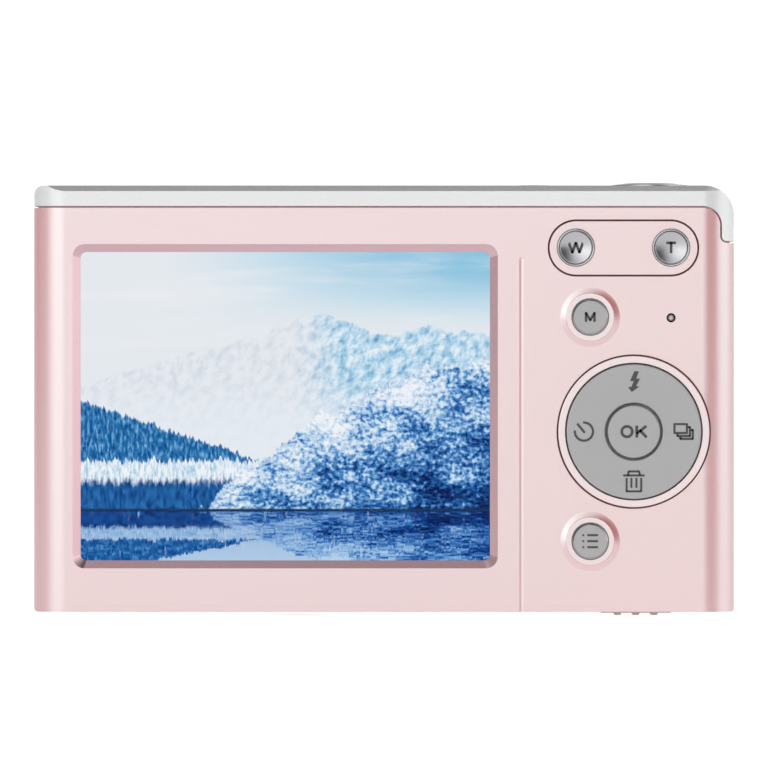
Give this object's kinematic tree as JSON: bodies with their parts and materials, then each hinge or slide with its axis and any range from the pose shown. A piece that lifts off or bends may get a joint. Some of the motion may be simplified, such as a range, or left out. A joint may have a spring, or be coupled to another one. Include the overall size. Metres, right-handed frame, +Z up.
{
  "type": "compact digital camera",
  "caption": "Slim pocket camera: flat pink case, white top cover, large rear screen beside round keys and a rocking pad, fixed lens in front, hinged battery door below.",
  "frame": {"origin": "middle of the outer box's underside, level with the ridges of the battery door's latch", "axes": "+Z up, +X to the right of a person looking at the screen, +Y the way the lens looks, so the screen faces -Y"},
  "size_m": [0.098, 0.0216, 0.0606],
  "materials": {
    "pink_shell": "pale pink, satin gloss, very fine bead texture",
    "white_cover": "white, smooth gloss, bright-cut top edge",
    "window_glass": "clear, polished, faint blue coating",
    "display": "lit display",
    "white_plastic": "diffusing",
    "zoom_key_metal": "spun, satin",
    "bright_metal": "polished plated metal",
    "grey_keys": "silver-grey paint, fine metallic flake",
    "black_plastic": "moulded, fine texture",
    "silicone": "soft, dull",
    "circuit_board": "green solder mask",
    "lamp_plastic": "frosted clear plastic",
    "steel": "bright zinc or brushed",
    "lens_black": "anodised black with fine turned rings",
    "lens_glass": "coated optical glass",
    "reflector": "bright reflector",
    "battery_wrap": "printed film wrap without printing",
    "contact_brass": "plated brass"
  },
  "bodies": {
    "root": {"rear_case": "pink_shell", "front_case": "pink_shell", "top_cover": "white_cover", "screen_window": "window_glass", "lcd_panel": "display", "lcd_backlight": "white_plastic", "lcd_frame": "steel", "w_button_ring": "bright_metal", "t_button_ring": "bright_metal", "key_mat": "silicone", "key_board": "circuit_board", "indicator_light": "lamp_plastic", "indicator_led": "white_plastic", "main_board": "circuit_board", "image_processor": "black_plastic", "chassis_plate": "steel", "lens_bezel": "bright_metal", "lens_ring": "lens_black", "lens_cover_glass": "lens_glass", "lens_barrel": "lens_black", "image_sensor": "black_plastic", "sensor_board": "circuit_board", "flash_window": "lamp_plastic", "flash_reflector": "reflector", "focus_lamp": "lamp_plastic", "microphone": "black_plastic", "shutter_collar": "bright_metal", "shutter_spring": "steel", "shutter_switch": "black_plastic", "power_switch": "black_plastic", "speaker": "black_plastic", "battery_bay": "black_plastic", "battery": "battery_wrap", "battery_contacts": "contact_brass", "door_hinge_pin": "steel", "card_slot": "steel", "bottom_screw_left": "steel", "bottom_screw_right": "steel", "side_screw_lower": "steel", "side_screw_upper": "steel", "usb_socket": "steel", "strap_eyelet": "steel", "tripod_nut": "contact_brass"},
    "shutter": {"shutter_button": "bright_metal"},
    "power": {"power_button": "bright_metal"},
    "w_key": {"w_button": "zoom_key_metal"},
    "t_key": {"t_button": "zoom_key_metal"},
    "m_key": {"m_button": "grey_keys"},
    "menu_key": {"menu_button": "grey_keys"},
    "ok_key": {"ok_button": "grey_keys"},
    "gimbal": {"pad_gimbal": "black_plastic"},
    "pad": {"direction_pad": "grey_keys"},
    "door": {"battery_door": "pink_shell"},
    "latch": {"door_latch": "white_cover"},
    "catch": {"battery_catch": "black_plastic"},
    "card": {"memory_card": "black_plastic"},
    "focus": {"focus_barrel": "lens_black", "front_lens": "lens_glass", "rear_lens": "lens_glass"}
  },
  "joints": [
    {"name": "shutter_press", "type": "slide", "parent": "root", "child": "shutter", "axis": [0, 0, -1], "range_m": [0, 0.0008], "stiffness_N_per_m": 500, "deforming": ["shutter_spring"]},
    {"name": "power_press", "type": "slide", "parent": "root", "child": "power", "axis": [0, 0, -1], "range_m": [0, 0.0003], "stiffness_N_per_m": 600},
    {"name": "w_press", "type": "slide", "parent": "root", "child": "w_key", "axis": [0, 1, 0], "range_m": [0, 0.00035], "stiffness_N_per_m": 600},
    {"name": "t_press", "type": "slide", "parent": "root", "child": "t_key", "axis": [0, 1, 0], "range_m": [0, 0.00035], "stiffness_N_per_m": 600},
    {"name": "m_press", "type": "slide", "parent": "root", "child": "m_key", "axis": [0, 1, 0], "range_m": [0, 0.00035], "stiffness_N_per_m": 600},
    {"name": "menu_press", "type": "slide", "parent": "root", "child": "menu_key", "axis": [0, 1, 0], "range_m": [0, 0.00035], "stiffness_N_per_m": 600},
    {"name": "ok_press", "type": "slide", "parent": "root", "child": "ok_key", "axis": [0, 1, 0], "range_m": [0, 0.00035], "stiffness_N_per_m": 600},
    {"name": "pad_rock_up_down", "type": "hinge", "parent": "root", "child": "gimbal", "pos_m": [0.0349, -0.0076, 0.02575], "axis": [1, 0, 0], "range_deg": [-1.5, 1.5], "stiffness_Nm_per_rad": 0.05},
    {"name": "pad_rock_left_right", "type": "hinge", "parent": "gimbal", "child": "pad", "pos_m": [0.0349, -0.0076, 0.02575], "axis": [0, 0, 1], "range_deg": [-1.5, 1.5], "stiffness_Nm_per_rad": 0.05},
    {"name": "door_hinge", "type": "hinge", "parent": "root", "child": "door", "pos_m": [0.0059, 0.0011, 0.00125], "axis": [0, 1, 0], "range_deg": [0, 95]},
    {"name": "latch_slide", "type": "slide", "parent": "door", "child": "latch", "axis": [-1, 0, 0], "range_m": [0, 0.002]},
    {"name": "catch_slide", "type": "slide", "parent": "root", "child": "catch", "axis": [1, 0, 0], "range_m": [0, 0.0012], "stiffness_N_per_m": 150},
    {"name": "card_push", "type": "slide", "parent": "root", "child": "card", "axis": [0, 0, 1], "range_m": [0, 0.0008], "stiffness_N_per_m": 300},
    {"name": "focus_travel", "type": "slide", "parent": "root", "child": "focus", "axis": [0, 1, 0], "range_m": [0, 0.0004], "stiffness_N_per_m": 100}
  ]
}
